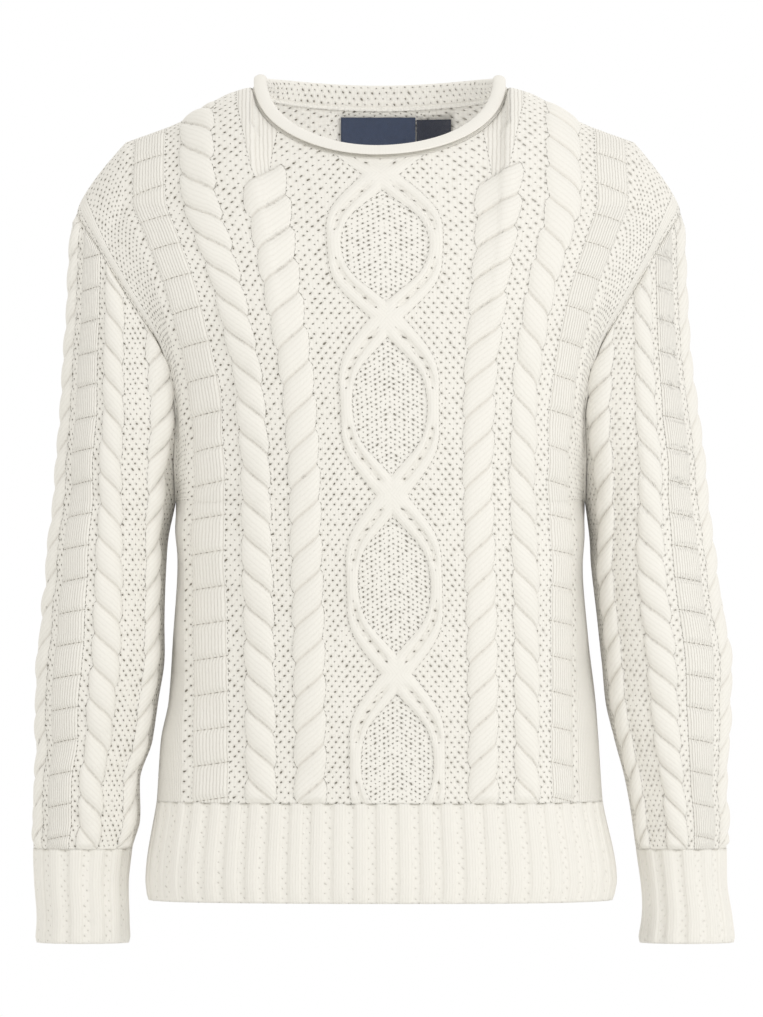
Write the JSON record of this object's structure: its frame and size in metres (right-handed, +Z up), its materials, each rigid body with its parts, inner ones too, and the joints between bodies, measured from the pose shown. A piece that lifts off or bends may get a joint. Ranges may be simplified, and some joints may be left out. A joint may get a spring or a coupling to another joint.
{
  "type": "cable knit sweater",
  "caption": "Chunky cotton cable knit crew sweater in its worn, hollow form, with a rolled neckband, dropped sleeves, ribbed cuffs and hem, and plain labels inside the neck.",
  "frame": {"origin": "middle of the neck's base between the shoulders, where the wearer's shoulders hold the garment", "axes": "+Z up, +X to the wearer's left, -Y to the front"},
  "size_m": [0.5872, 0.2577, 0.7284],
  "materials": {
    "cotton_knit": "chunky ivory cotton cable knit, matt, slightly fuzzy",
    "cotton_rib": "ivory cotton two by two rib, matt",
    "label_navy": "navy woven label, plain, soft sheen",
    "label_dark": "dark navy satin care label, plain"
  },
  "bodies": {
    "root": {"front": "cotton_knit", "back": "cotton_knit", "sleeve_right": "cotton_knit", "sleeve_left": "cotton_knit", "hem_rib_front": "cotton_rib", "hem_rib_back": "cotton_rib", "cuff_right": "cotton_rib", "cuff_left": "cotton_rib", "neckband": "cotton_rib", "label": "label_navy", "care_label": "label_dark"}
  },
  "joints": []
}
